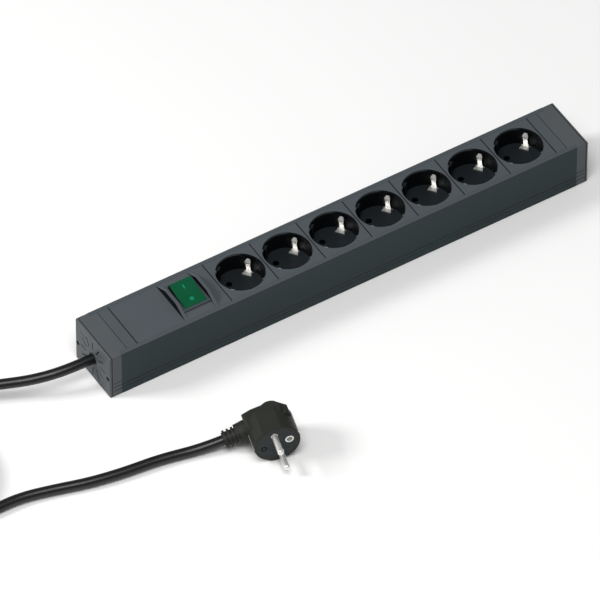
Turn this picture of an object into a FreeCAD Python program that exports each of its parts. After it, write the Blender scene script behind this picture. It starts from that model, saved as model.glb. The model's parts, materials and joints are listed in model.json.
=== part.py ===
"""Rack power strip: seven earthed sockets and a guarded rocker switch in a painted extrusion, with
its cord and angled plug.

Millimetres. +X runs along the strip, away from the cord. +Z points out of the sockets. The origin is
in the middle of the underside. The cord lies on the surface that the strip stands on.
"""
import FreeCAD, Part
import math
import os

V = FreeCAD.Vector
X_AXIS, Y_AXIS, Z_AXIS = V(1, 0, 0), V(0, 1, 0), V(0, 0, 1)

# Strip and extruded channel
STRIP_LENGTH = 440.0
STRIP_WIDTH = 52.0
STRIP_HEIGHT = 44.0
WALL = 1.6                  # side walls of the channel
FLOOR = 2.0                 # bottom of the channel
LIP_WIDTH = 3.8             # top lips, measured from the outer side
LIP_THICKNESS = 2.0
PORT_INSET = 3.5            # centres of the screw ports along the channel, from the outer side
PORT_DROP = 2.4             # top of the ports, below the socket inserts
PORT_RADIUS = 3.1
PORT_BORE_RADIUS = 1.7
SIDE_GROOVE_HEIGHTS = (6.3, 10.3)
GROOVE_WIDTH, GROOVE_DEPTH = 0.7, 0.5
EDGE_RADIUS = 0.8

# End caps
CAP_LENGTH = 10.5           # the part of a cap seen from the side
CAP_TONGUE = 7.0            # the part that carries on between the lips
CAP_WALL = 3.0
CAP_RADIUS = 1.2
CAP_SEAM = 2.0              # from the end to the shadow line round the cap
CAP_GROOVE_HEIGHTS = (6.3, 10.7, 14.7)
BRACKET_HOLE_RADIUS = 2.1
CAP_TAB = 1.5               # snap tabs that reach into the channel
RAY_MARGIN_SIDE, RAY_MARGIN_LOW, RAY_MARGIN_TOP = 3.0, 2.5, 4.0
RAY_LINE_RISE = 13.0        # the short line over the rays, above the cord
RAY_COUNT = 12
RAY_INNER, RAY_OUTER = 10.0, 18.5
RAY_WIDTH, RAY_DEPTH = 1.2, 1.6

# Face modules
SOCKET_COUNT = 7
PITCH = 42.8
SWITCH_MODULE_LENGTH = 2 * PITCH
PLATE_THICKNESS = 2.0
RAIL_THICKNESS = 1.6        # flanges that run under the lips
SLIDE = 0.1                 # clearance between plate and lips
RAIL_GAP = 0.2              # clearance of a flange from the inserts and the walls
PLATE_CHAMFER = 0.5         # makes the V joint between two modules

# Socket
RECESS_RADIUS = 19.75
RECESS_DEPTH = 17.5
CUP_WALL = 1.35
CUP_FLOOR = 2.0
PIN_PITCH = 19.0
PIN_HOLE_RADIUS = 2.6
PIN_LINE_ANGLE = 128.0
PIN_BOSS_RADIUS, PIN_BOSS_LENGTH = 4.2, 5.0
GUIDE_WIDTH, GUIDE_DEPTH = 5.0, 2.4
NUB_RADIUS = 1.1
NUB_ANGLES = (147.0, 307.0)

# Earth contact in each socket
STRAP = 0.8
CLIP_WIDTH, CLIP_HEAD_WIDTH, CLIP_NECK_WIDTH = 7.5, 4.5, 3.6
CLIP_FOOT_RADIUS = 18.2
CLIP_UPRIGHT = 2.5          # straight part of a finger, above the floor of the recess
CLIP_BULGE_RADIUS, CLIP_BULGE_DROP = 16.0, 2.5
CLIP_NECK_START, CLIP_NECK_END = 3.0, 6.0   # above the floor and below the top
CLIP_HEAD_START, CLIP_HEAD_END, CLIP_TIP_WIDTH = 4.0, 1.6, 2.5
CLIP_DROP = 4.1             # top of the bar under the recess, below the insert
CLIP_SET_BACK = 2.7         # top of a finger, below the face
CLIP_LEAN = 0.8             # top of a finger, inside its foot
TONGUE_LENGTH, TONGUE_INNER, TONGUE_OUTER = 4.8, 7.8, 5.2   # foot on the floor of the recess

# Busbars and their tray
BUSBAR = 0.8
BLADE_GAP = 4.6
BLADE_LENGTH = 10.0
BLADE_DROP = 1.5            # top of the blades, below the pin bosses
EARTH_BAR_WIDTH = 6.0
TRAY_THICKNESS = 3.2
TRAY_MARGIN = 2.0           # from the ends of the row of sockets
RIB = 1.8
RIB_DROP = 3.8              # top of the tray's ribs, below the blades
BAR_END_GAP = 1.0           # tray beyond the end of a bar
LUG_HEIGHT, EARTH_LUG_HEIGHT = 10.8, 4.0

# Switch, its pedestal and its guard
SWITCH_OFFSET = 58.6        # from the start of its module
BEZEL_LENGTH, BEZEL_WIDTH, BEZEL_THICKNESS = 25.0, 31.0, 1.6
BODY_LENGTH, BODY_WIDTH, BODY_HEIGHT = 21.8, 29.8, 30.2
BODY_FLOOR = 2.0
BODY_CLEARANCE = 0.1
PEDESTAL = 1.6
GUARD_HEIGHT, GUARD_FLAT = 6.8, 16.4
GUARD_EDGE = 0.1            # plate beyond the foot of the guard
GUARD_WALL = 2.6
GUARD_GAP = 0.1             # between the guard and the bezel
GUARD_RAIL = 0.35           # grey rail on the guard's black wall
GUARD_BASE, GUARD_BASE_MARGIN = 1.5, 2.3
ROCKER_LENGTH, ROCKER_RADIUS, ROCKER_CORNER = 19.5, 13.0, 20.0
ROCKER_DIP = 0.8
ROCKER_WALL = 1.4
ROCKER_TILT = 11.0          # at rest the back of the rocker stands up: off
ROCKER_DROP = 2.2           # pivot below the top of the bezel
ROCKER_GAP = 0.3
AXLE_RADIUS, AXLE_PLAY, AXLE_DEPTH = 1.5, 0.06, 0.8
POLE_OFFSET = 5.0
LEVER_DROP = 14.0           # lever pivot below the rocker's
LEVER_TILT = 6.6
LEVER_LENGTH, LEVER_WIDTH, LEVER_THICKNESS = 18.0, 4.0, 0.8
CONTACT_Y, CONTACT_RADIUS, CONTACT_HEIGHT = 7.6, 1.4, 0.7
TAB_WIDTH, TAB_THICKNESS, TAB_LENGTH = 4.8, 0.8, 9.5
PLUNGER_RADIUS, PLUNGER_TOP, PLUNGER_TIP = 1.4, 4.0, 13.3
GUIDE_TUBE_RADIUS, GUIDE_TUBE_END = 2.3, 7.5
SPRING_WIRE, SPRING_RADIUS = 0.35, 1.2
LAMP_RADIUS, LAMP_LENGTH = 1.5, 8.0

# Cord and what holds it
CORD = 8.6
BUSHING_WALL = 0.9
CLAMP_INSET, CLAMP_LENGTH, CLAMP_WIDTH = 17.0, 8.0, 26.0
CLAMP_THICKNESS = 6.0
CLAMP_SCREW_Y, CLAMP_SCREW_RADIUS = 9.0, 1.5
CLAMP_HEAD_RADIUS, CLAMP_HEAD = 2.7, 2.0
CORD_INNER_LENGTH = 22.0    # up to where the jacket is stripped
WIRE = 2.7
CORE_UP, CORE_OUT, CORE_DOWN = 1.2, 2.2, 2.6   # the three cores, from the middle of the cord
COIL_CENTRE = V(-398.0, -16.0, 0.0)
COIL_INNER = 38.7           # centre line of the innermost turn
COIL_ROWS = (4, 3)          # turns side by side in the lower and upper layer
COIL_STUB = 40.0            # straight ends that leave the coil
TIE_WIDTH, TIE_THICKNESS, TIE_ANGLE = 12.0, 1.2, 150.0

# Plug
PLUG_FACE = V(-144.0, -148.7, 18.85)
PLUG_ANGLE = 164.57         # the cord leaves the plug this way, seen from above
PLUG_ROLL = 15.0            # turn about the pins' direction, cord downwards
DRUM_RADIUS, DRUM_LENGTH, DRUM_HALF_HEIGHT = 18.75, 23.0, 17.2
PLUG_BACK = 33.0
HOUSING_HALF_HEIGHT = 13.0
CABLE_SETBACK = 24.0
HOUSING_ROUND, DRUM_ROUND = 3.0, 1.2
NECK_START, NECK_START_RADIUS = 12.0, 9.8
NECK_END, NECK_RADIUS = 27.0, 8.2
BOOT_END, BOOT_RADIUS, RIB_RADIUS = 37.7, 5.9, 7.3
BOOT_RIBS = 3
CORE_RADIUS, CORE_DEPTH = 15.5, 8.0
PIN_RADIUS, PIN_LENGTH = 2.4, 19.0
PIN_ROOT_RADIUS, PIN_ROOT = 2.7, 6.0
EARTH_PLATE_WIDTH = 8.0
EARTH_PLATE_INNER, EARTH_PLATE_OUTER = 0.6, 0.2   # from the insert, and below the drum
SLEEVE_OFFSET, SLEEVE_OUTER, SLEEVE_BORE, SLEEVE_DEPTH = -10.0, 3.4, 2.4, 7.5
POCKET_OFFSET, POCKET_OUTER, POCKET_INNER, POCKET_DEPTH = 11.2, 2.5, 1.5, 1.5
PAD_RADIUS, PAD_RISE, PAD_ROUND = 9.0, 3.0, 1.5
NECK_HOLE_RADIUS, NECK_HOLE_DEPTH = 0.7, 1.0
NECK_HOLE_ALONG, NECK_HOLE_ANGLES = (19.8, 24.8), (-63.0, -46.0, -29.0)

# Worked out from the sizes above
HOUSING_OUTLINE = [(1 - DRUM_RADIUS, -15), (1 - DRUM_RADIUS, -24), (-9, -PLUG_BACK), (10, -PLUG_BACK),
                   (NECK_START + 6, 1.5 - PLUG_BACK), (NECK_START + 6, -16), (10, -12)]
PAD_CENTRE = V(-4, -22, HOUSING_HALF_HEIGHT)
HALF = STRIP_LENGTH / 2
PORT_Y = STRIP_WIDTH / 2 - PORT_INSET
CORD_HEIGHT = STRIP_HEIGHT / 2
CLAMP_X = -HALF + CLAMP_INSET
CORD_INNER_END = -HALF + CORD_INNER_LENGTH
INSIDE_Y = STRIP_WIDTH / 2 - WALL
LIP_Y = STRIP_WIDTH / 2 - LIP_WIDTH
LIP_BOTTOM = STRIP_HEIGHT - LIP_THICKNESS
PLATE_Y = LIP_Y - SLIDE
PLATE_BOTTOM = STRIP_HEIGHT - PLATE_THICKNESS
CHANNEL_END = HALF - CAP_LENGTH
ROW_END = HALF - CAP_LENGTH - CAP_TONGUE
FILLER_LENGTH = (2 * ROW_END - SWITCH_MODULE_LENGTH - SOCKET_COUNT * PITCH) / 2
SWITCH_MODULE_START = -ROW_END + FILLER_LENGTH
SOCKET_START = SWITCH_MODULE_START + SWITCH_MODULE_LENGTH
SOCKET_END = SOCKET_START + SOCKET_COUNT * PITCH
SOCKET_X = [SOCKET_START + (number + 0.5) * PITCH for number in range(SOCKET_COUNT)]
RECESS_FLOOR = STRIP_HEIGHT - RECESS_DEPTH
CUP_RADIUS = RECESS_RADIUS + CUP_WALL
CUP_BOTTOM = RECESS_FLOOR - CUP_FLOOR
CLIP_BAR_Z = CUP_BOTTOM - CLIP_DROP
PORT_Z = CUP_BOTTOM - PORT_DROP - PORT_RADIUS
PIN_DX = PIN_PITCH / 2 * math.cos(math.radians(PIN_LINE_ANGLE))
PIN_DY = PIN_PITCH / 2 * math.sin(math.radians(PIN_LINE_ANGLE))
EARTH_LINE_ANGLE = PIN_LINE_ANGLE - 90.0
BAR_BOTTOM = FLOOR + TRAY_THICKNESS
BLADE_TOP = CUP_BOTTOM - PIN_BOSS_LENGTH - BLADE_DROP
RIB_TOP = BLADE_TOP - RIB_DROP
BAR_START = SOCKET_START + TRAY_MARGIN + BAR_END_GAP
BAR_END = SOCKET_END - TRAY_MARGIN - BAR_END_GAP
SWITCH_X = SWITCH_MODULE_START + SWITCH_OFFSET
BEZEL_TOP = STRIP_HEIGHT + PEDESTAL + BEZEL_THICKNESS
BODY_BOTTOM = BEZEL_TOP - BODY_HEIGHT
TAB_BOTTOM = BODY_BOTTOM - TAB_LENGTH
GUARD_FOOT = 2 * (PLATE_Y - GUARD_EDGE)
PIVOT_Z = BEZEL_TOP - ROCKER_DROP
LEVER_Z = PIVOT_Z - LEVER_DROP
GUARD_INNER = BEZEL_LENGTH / 2 + GUARD_GAP
GUARD_OUTER = GUARD_INNER + GUARD_WALL
ROCKER_OPENING_X = ROCKER_LENGTH / 2 + ROCKER_GAP
ROCKER_OPENING_Y = ROCKER_RADIUS + ROCKER_GAP


def box(x, y, z):
    """A box between three pairs of limits."""
    return Part.makeBox(x[1] - x[0], y[1] - y[0], z[1] - z[0], V(x[0], y[0], z[0]))


def bar(half_x, half_y, z, x=0.0, y=0.0):
    """A box centred on (x, y), between two heights."""
    return box((x - half_x, x + half_x), (y - half_y, y + half_y), z)


def rod(start, end, radius):
    """A round bar from one point to another."""
    return Part.makeCylinder(radius, (end - start).Length, start, end - start)


def prism(points, direction):
    """The closed outline through the points, drawn out along a direction."""
    return Part.Face(Part.makePolygon(points + points[:1])).extrude(direction)


def round_edges(shape, radius, wanted):
    """Rounds the edges whose middle the test picks out."""
    edges = [edge for edge in shape.Edges if wanted(edge, edge.CenterOfMass)]
    return shape.makeFillet(radius, edges)


def along(edge, axis):
    """Whether a straight edge runs along an axis."""
    straight = isinstance(edge.Curve, (Part.Line, Part.LineSegment))
    return straight and abs(edge.tangentAt(edge.FirstParameter).dot(axis)) > 0.999


def turned(shape, angle, centre, axis=Z_AXIS):
    """A copy turned about an axis through a point."""
    copy = shape.copy()
    copy.rotate(centre, axis, angle)
    return copy


def route(points):
    """Straight runs joined by tangent arcs, each as large as its two runs allow."""
    edges, radii, start = [], [], points[0]
    for before, corner, after in zip(points, points[1:], points[2:]):
        back, ahead = before - corner, after - corner
        run = min(back.Length, ahead.Length)
        back.normalize()
        ahead.normalize()
        reach = 0.45 * run
        half_turn = (math.pi - back.getAngle(ahead)) / 2
        radius = reach / math.tan(half_turn)
        first, last = corner + back * reach, corner + ahead * reach
        inward = back + ahead
        inward.normalize()
        middle = corner + inward * (radius / math.cos(half_turn) - radius)
        edges += [Part.LineSegment(start, first).toShape(), Part.Arc(first, middle, last).toShape()]
        radii.append(radius)
        start = last
    edges.append(Part.LineSegment(start, points[-1]).toShape())
    return Part.Wire(edges), radii


def tube(points, diameter, name):
    """A round cord or wire that follows the points."""
    path, radii = route(points)
    section = Part.Wire(Part.makeCircle(diameter / 2, points[0], points[1] - points[0]))
    shape = path.makePipeShell([section], True, False)
    expected = math.pi * diameter ** 2 / 4 * path.Length
    print(name, "length", round(path.Length, 1), "volume ratio", round(shape.Volume / expected, 4),
          "arc radii", [round(radius, 1) for radius in radii])
    return shape


def save(name, *solids):
    """Writes one sub-part; its identical pieces stay separate solids."""
    shape = solids[0] if len(solids) == 1 else Part.makeCompound(list(solids))
    shape.exportStep("parts/" + name + ".step")
    print(name, "solids", len(shape.Solids), "volume", round(shape.Volume, 1), "valid", shape.isValid())


# ---- channel and end caps ----

def channel():
    """The extruded channel: floor, walls, lips, screw ports and shadow lines."""
    half_y = STRIP_WIDTH / 2
    outer = box((-CHANNEL_END, CHANNEL_END), (-half_y, half_y), (0, STRIP_HEIGHT))
    outer = round_edges(outer, EDGE_RADIUS, lambda edge, middle: along(edge, X_AXIS))
    outer = outer.cut(box((-HALF, HALF), (-INSIDE_Y, INSIDE_Y), (FLOOR, LIP_BOTTOM)))
    outer = outer.cut(box((-HALF, HALF), (-LIP_Y, LIP_Y), (FLOOR, STRIP_HEIGHT + 1)))
    for side in (-1, 1):
        centre = V(-CHANNEL_END, side * PORT_Y, PORT_Z)
        port = Part.makeCylinder(PORT_RADIUS, 2 * CHANNEL_END, centre, X_AXIS)
        port = port.common(box((-HALF, HALF), (-INSIDE_Y, INSIDE_Y), (0, STRIP_HEIGHT)))
        outer = outer.fuse(port)
        outer = outer.cut(Part.makeCylinder(PORT_BORE_RADIUS, 2 * CHANNEL_END, centre, X_AXIS))
        for height in SIDE_GROOVE_HEIGHTS:
            outer = outer.cut(side_groove(-HALF, HALF, side, height))
    return outer.removeSplitter()


def side_groove(start, end, side, height):
    """A shallow line along one side."""
    outside, inside = side * (STRIP_WIDTH / 2 + 1), side * (STRIP_WIDTH / 2 - GROOVE_DEPTH)
    limits = (min(outside, inside), max(outside, inside))
    return box((start, end), limits, (height - GROOVE_WIDTH / 2, height + GROOVE_WIDTH / 2))


def cap_shell():
    """An end cap at the cord's end: a hollow block, a tongue between the lips and snap tabs."""
    half_y = STRIP_WIDTH / 2
    cap = box((-HALF, -CHANNEL_END), (-half_y, half_y), (0, STRIP_HEIGHT))
    cap = round_edges(cap, CAP_RADIUS, lambda edge, middle:
                      along(edge, X_AXIS) or middle.x < -HALF + 0.01)
    cap = cap.cut(box((-HALF + CAP_WALL, 0), (-INSIDE_Y, INSIDE_Y), (FLOOR, LIP_BOTTOM)))
    tongue = box((-CHANNEL_END, -ROW_END), (-PLATE_Y, PLATE_Y), (PLATE_BOTTOM, STRIP_HEIGHT))
    cap = cap.fuse(tongue)
    tab_height = (PORT_Z + PORT_RADIUS + 2, PLATE_BOTTOM - RAIL_THICKNESS - 1)
    for side in (-1, 1):
        limits = sorted((side * (INSIDE_Y - CAP_TAB), side * INSIDE_Y))
        cap = cap.fuse(box((-HALF + CAP_WALL, -ROW_END), limits, tab_height))
        centre = V(-HALF - 1, side * PORT_Y, PORT_Z)
        port = box((-HALF + CAP_WALL, -CHANNEL_END),
                   sorted((side * (PORT_Y - PORT_RADIUS), side * INSIDE_Y)),
                   (PORT_Z - PORT_RADIUS, PORT_Z + PORT_RADIUS))
        cap = cap.fuse(port)
        cap = cap.cut(Part.makeCylinder(BRACKET_HOLE_RADIUS, CAP_LENGTH + 2, centre, X_AXIS))
        for height in CAP_GROOVE_HEIGHTS:
            cap = cap.cut(side_groove(-HALF + CAP_SEAM + 1, 0, side, height))
    foot = box((-HALF + CAP_WALL, -ROW_END), (-INSIDE_Y / 2, INSIDE_Y / 2), (FLOOR, FLOOR + CAP_TAB))
    return cap.fuse(foot).cut(cap_seam())


def cap_seam():
    """The shadow line that goes round a cap near its end."""
    half_y = STRIP_WIDTH / 2
    limits = (-HALF + CAP_SEAM - GROOVE_WIDTH / 2, -HALF + CAP_SEAM + GROOVE_WIDTH / 2)
    ring = box(limits, (-half_y - 1, half_y + 1), (-1, STRIP_HEIGHT + 1))
    inside = box(limits, (-half_y + GROOVE_DEPTH, half_y - GROOVE_DEPTH),
                 (GROOVE_DEPTH, STRIP_HEIGHT - GROOVE_DEPTH))
    return ring.cut(inside)


def cable_end_cap():
    """The cap that the cord goes through, with rays moulded round it and the clamp's shelf."""
    cap = cap_shell()
    centre = V(-HALF, 0, CORD_HEIGHT)
    window_y = STRIP_WIDTH / 2 - RAY_MARGIN_SIDE
    window = box((-HALF - 1, 0), (-window_y, window_y), (RAY_MARGIN_LOW, STRIP_HEIGHT - RAY_MARGIN_TOP))
    for number in range(RAY_COUNT):
        ray = box((-HALF - 1, -HALF + RAY_DEPTH), (RAY_INNER, RAY_OUTER),
                  (CORD_HEIGHT - RAY_WIDTH / 2, CORD_HEIGHT + RAY_WIDTH / 2))
        cap = cap.cut(turned(ray, number * 360.0 / RAY_COUNT, centre, X_AXIS).common(window))
    line_z = CORD_HEIGHT + RAY_LINE_RISE
    for side in (-1, 1):
        line = box((-HALF - 1, -HALF + GROOVE_DEPTH), sorted((side * RAY_INNER, side * RAY_OUTER)),
                   (line_z, line_z + GROOVE_WIDTH))
        cap = cap.cut(line)
    shelf = box((-HALF + CAP_WALL, CLAMP_X + CLAMP_LENGTH / 2), (-CLAMP_WIDTH / 2, CLAMP_WIDTH / 2),
                (FLOOR + CAP_TAB, CORD_HEIGHT))
    shelf = shelf.cut(rod(V(-HALF, 0, CORD_HEIGHT), V(0, 0, CORD_HEIGHT), CORD / 2))
    for side in (-1, 1):
        foot = V(CLAMP_X, side * CLAMP_SCREW_Y, CORD_HEIGHT - CLAMP_THICKNESS)
        shelf = shelf.cut(rod(foot, foot + V(0, 0, CLAMP_THICKNESS), CLAMP_SCREW_RADIUS))
    cap = cap.fuse(shelf)
    hole = rod(V(-HALF - 1, 0, CORD_HEIGHT), V(-HALF + CAP_WALL, 0, CORD_HEIGHT), CORD / 2 + BUSHING_WALL)
    return cap.cut(hole).removeSplitter()


def far_end_cap():
    """The plain cap at the other end."""
    return turned(cap_shell(), 180, V(0, 0, 0)).removeSplitter()


# ---- face modules ----

def face_plate(start, end):
    """One module of the face: the plate, flanges under the lips and bevelled ends."""
    plate = box((start, end), (-PLATE_Y, PLATE_Y), (PLATE_BOTTOM, STRIP_HEIGHT))
    bevelled = [edge for edge in plate.Edges
                if along(edge, Y_AXIS) and edge.CenterOfMass.z > STRIP_HEIGHT - 0.01]
    plate = plate.makeChamfer(PLATE_CHAMFER, bevelled)
    for side in (-1, 1):
        rail = box((start, end), sorted((side * (CUP_RADIUS + RAIL_GAP), side * (INSIDE_Y - RAIL_GAP))),
                   (PLATE_BOTTOM - RAIL_THICKNESS, LIP_BOTTOM))
        plate = plate.fuse(rail)
    return plate


def socket_plate(x):
    """The face round one socket, with two small nubs on the rim."""
    plate = face_plate(x - PITCH / 2, x + PITCH / 2)
    hole = Part.makeCylinder(RECESS_RADIUS, PLATE_THICKNESS, V(x, 0, PLATE_BOTTOM))
    plate = plate.cut(hole)
    for angle in NUB_ANGLES:
        nub = Part.makeCylinder(NUB_RADIUS, PLATE_THICKNESS, V(x + RECESS_RADIUS, 0, PLATE_BOTTOM))
        plate = plate.fuse(turned(nub, angle, V(x, 0, 0)).common(hole))
    return plate.removeSplitter()


def socket_cup(x):
    """The dark insert: round recess, guide ribs, pin holes with their bosses and earth slots."""
    centre = V(x, 0, 0)
    cup = Part.makeCylinder(CUP_RADIUS, PLATE_BOTTOM - CUP_BOTTOM, V(x, 0, CUP_BOTTOM))
    cup = cup.cut(Part.makeCylinder(RECESS_RADIUS, RECESS_DEPTH, V(x, 0, RECESS_FLOOR)))
    inside = Part.makeCylinder(RECESS_RADIUS + CUP_WALL / 2, STRIP_HEIGHT, V(x, 0, 0))
    for half_turn in (0, 180):
        rib = box((x + RECESS_RADIUS - GUIDE_DEPTH, x + RECESS_RADIUS + 1),
                  (-GUIDE_WIDTH / 2, GUIDE_WIDTH / 2), (RECESS_FLOOR, PLATE_BOTTOM - 1))
        cup = cup.fuse(turned(rib, PIN_LINE_ANGLE + half_turn, centre).common(inside))
        boss = V(x + PIN_PITCH / 2, 0, CUP_BOTTOM - PIN_BOSS_LENGTH)
        cup = cup.fuse(turned(rod(boss, boss + V(0, 0, PIN_BOSS_LENGTH), PIN_BOSS_RADIUS),
                              PIN_LINE_ANGLE + half_turn, centre))
    for half_turn in (0, 180):
        hole = V(x + PIN_PITCH / 2, 0, CUP_BOTTOM - PIN_BOSS_LENGTH)
        cup = cup.cut(turned(rod(hole, hole + V(0, 0, RECESS_DEPTH), PIN_HOLE_RADIUS),
                             PIN_LINE_ANGLE + half_turn, centre))
        slot = box((x + CLIP_FOOT_RADIUS - STRAP, x + CLIP_FOOT_RADIUS + STRAP / 2),
                   (-CLIP_WIDTH / 2, CLIP_WIDTH / 2), (CUP_BOTTOM, RECESS_FLOOR))
        cup = cup.cut(turned(slot, EARTH_LINE_ANGLE + half_turn, centre))
    return cup.removeSplitter()


def earth_clip(x):
    """A sprung strap: a bar under the recess and, at each side, a foot on its floor and a finger."""
    half = STRAP / 2
    top = STRIP_HEIGHT - CLIP_SET_BACK
    line = [(CLIP_FOOT_RADIUS, CLIP_BAR_Z), (CLIP_FOOT_RADIUS, RECESS_FLOOR + CLIP_UPRIGHT),
            (CLIP_BULGE_RADIUS, top - CLIP_BULGE_DROP), (CLIP_FOOT_RADIUS - CLIP_LEAN, top)]
    side = [V(x + radius + half, -CLIP_WIDTH, z) for radius, z in line]
    side += [V(x + radius - half, -CLIP_WIDTH, z) for radius, z in reversed(line)]
    finger = prism(side, V(0, 2 * CLIP_WIDTH, 0))
    widths = [(CLIP_WIDTH, CLIP_BAR_Z), (CLIP_WIDTH, RECESS_FLOOR), (TONGUE_OUTER, RECESS_FLOOR),
              (CLIP_NECK_WIDTH, RECESS_FLOOR + CLIP_NECK_START), (CLIP_NECK_WIDTH, top - CLIP_NECK_END),
              (CLIP_HEAD_WIDTH, top - CLIP_HEAD_START), (CLIP_HEAD_WIDTH, top - CLIP_HEAD_END),
              (CLIP_TIP_WIDTH, top)]
    front = [V(x, width / 2, z) for width, z in widths]
    front += [V(x, -width / 2, z) for width, z in reversed(widths)]
    finger = finger.common(prism(front, V(CUP_RADIUS, 0, 0)))
    inner, outer = x + CLIP_FOOT_RADIUS - TONGUE_LENGTH, x + CLIP_FOOT_RADIUS
    tongue = prism([V(inner, -TONGUE_INNER / 2, RECESS_FLOOR), V(outer, -TONGUE_OUTER / 2, RECESS_FLOOR),
                    V(outer, TONGUE_OUTER / 2, RECESS_FLOOR), V(inner, TONGUE_INNER / 2, RECESS_FLOOR)],
                   V(0, 0, STRAP))
    finger = finger.fuse(tongue)
    clip = box((x - CLIP_FOOT_RADIUS - half, x + CLIP_FOOT_RADIUS + half),
               (-CLIP_WIDTH / 2, CLIP_WIDTH / 2), (CLIP_BAR_Z, CLIP_BAR_Z + STRAP))
    clip = clip.fuse(finger).fuse(turned(finger, 180, V(x, 0, 0)))
    return turned(clip, EARTH_LINE_ANGLE, V(x, 0, 0)).removeSplitter()


# ---- conductors inside ----

def pin_busbar(side):
    """A live or neutral bar with a pair of blades at each pin and a lug for its wire."""
    y = side * PIN_DY
    half_width = BLADE_GAP / 2 + BUSBAR
    busbar = box((BAR_START, BAR_END), (y - half_width, y + half_width), (BAR_BOTTOM, BAR_BOTTOM + BUSBAR))
    lug = box((BAR_START, BAR_START + BUSBAR), (y - half_width, y + half_width),
              (BAR_BOTTOM, BAR_BOTTOM + LUG_HEIGHT))
    busbar = busbar.fuse(lug)
    for x in SOCKET_X:
        for edge in (-1, 1):
            blade_y = y + edge * (BLADE_GAP + BUSBAR) / 2
            blade = bar(BLADE_LENGTH / 2, BUSBAR / 2, (BAR_BOTTOM, BLADE_TOP), x + side * PIN_DX, blade_y)
            busbar = busbar.fuse(blade)
    return busbar.removeSplitter()


def earth_busbar():
    """The flat bar under the earth clips, bent down at its end into a lug."""
    flat = box((BAR_START, BAR_END), (-EARTH_BAR_WIDTH / 2, EARTH_BAR_WIDTH / 2),
               (CLIP_BAR_Z - BUSBAR, CLIP_BAR_Z))
    lug = box((BAR_START, BAR_START + BUSBAR), (-EARTH_BAR_WIDTH / 2, EARTH_BAR_WIDTH / 2),
              (CLIP_BAR_Z - EARTH_LUG_HEIGHT, CLIP_BAR_Z))
    return flat.fuse(lug).removeSplitter()


def contact_carrier():
    """The insulating tray that holds the two pin busbars apart."""
    start, end = SOCKET_START + TRAY_MARGIN, SOCKET_END - TRAY_MARGIN
    channel_inner = PIN_DY - BLADE_GAP / 2 - BUSBAR
    channel_outer = PIN_DY + BLADE_GAP / 2 + BUSBAR
    tray = box((start, end), (-channel_outer - RIB, channel_outer + RIB), (FLOOR, BAR_BOTTOM))
    tray = tray.fuse(box((start, end), (-channel_inner, channel_inner), (BAR_BOTTOM, RIB_TOP)))
    for side in (-1, 1):
        rib = box((start, end), sorted((side * channel_outer, side * (channel_outer + RIB))),
                  (BAR_BOTTOM, RIB_TOP))
        tray = tray.fuse(rib)
    return tray.removeSplitter()


# ---- switch ----

def guard_outline(thickness):
    """Side view of the guard, narrowed by the rail's thickness."""
    foot, flat = GUARD_FOOT / 2 - 2 * thickness, GUARD_FLAT / 2 - thickness / 3
    top = STRIP_HEIGHT + GUARD_HEIGHT - thickness
    return [(-foot, STRIP_HEIGHT), (-flat, top), (flat, top), (foot, STRIP_HEIGHT)]


def guard_side(side, outline):
    """One upright of the guard, drawn out along X from its side view."""
    x = SWITCH_X + (GUARD_INNER if side > 0 else -GUARD_OUTER)
    return prism([V(x, y, z) for y, z in outline], V(GUARD_WALL, 0, 0))


def switch_plate():
    """The long module: a low pedestal with sloped ends and two raised rails beside the switch."""
    plate = face_plate(SWITCH_MODULE_START, SOCKET_START)
    top = STRIP_HEIGHT + PEDESTAL
    slope = [(-GUARD_FOOT / 2, STRIP_HEIGHT), (-BEZEL_WIDTH / 2, top), (BEZEL_WIDTH / 2, top),
             (GUARD_FOOT / 2, STRIP_HEIGHT)]
    start = SWITCH_X - GUARD_INNER
    plate = plate.fuse(prism([V(start, y, z) for y, z in slope], V(2 * GUARD_INNER, 0, 0)))
    for side in (-1, 1):
        inner = guard_outline(GUARD_RAIL)
        wall = [(inner[0][0], PLATE_BOTTOM)] + inner + [(inner[-1][0], PLATE_BOTTOM)]
        plate = plate.fuse(guard_side(side, guard_outline(0))).cut(guard_side(side, wall))
    opening = bar(BODY_LENGTH / 2 + BODY_CLEARANCE, BODY_WIDTH / 2 + BODY_CLEARANCE,
                  (PLATE_BOTTOM, top), SWITCH_X)
    return plate.cut(opening).removeSplitter()


def switch_guard():
    """The black insert under the rails: two upright walls on a frame behind the plate."""
    base_y = GUARD_FOOT / 2 - 2 * GUARD_RAIL
    base = bar(GUARD_OUTER + GUARD_BASE_MARGIN, base_y, (PLATE_BOTTOM - GUARD_BASE, PLATE_BOTTOM), SWITCH_X)
    guard = base.cut(bar(BODY_LENGTH / 2 + BODY_CLEARANCE, BODY_WIDTH / 2 + BODY_CLEARANCE,
                         (PLATE_BOTTOM - GUARD_BASE, PLATE_BOTTOM), SWITCH_X))
    inner = guard_outline(GUARD_RAIL)
    for side in (-1, 1):
        wall = [(inner[0][0], PLATE_BOTTOM)] + inner + [(inner[-1][0], PLATE_BOTTOM)]
        guard = guard.fuse(guard_side(side, wall))
    return guard.removeSplitter()


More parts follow.
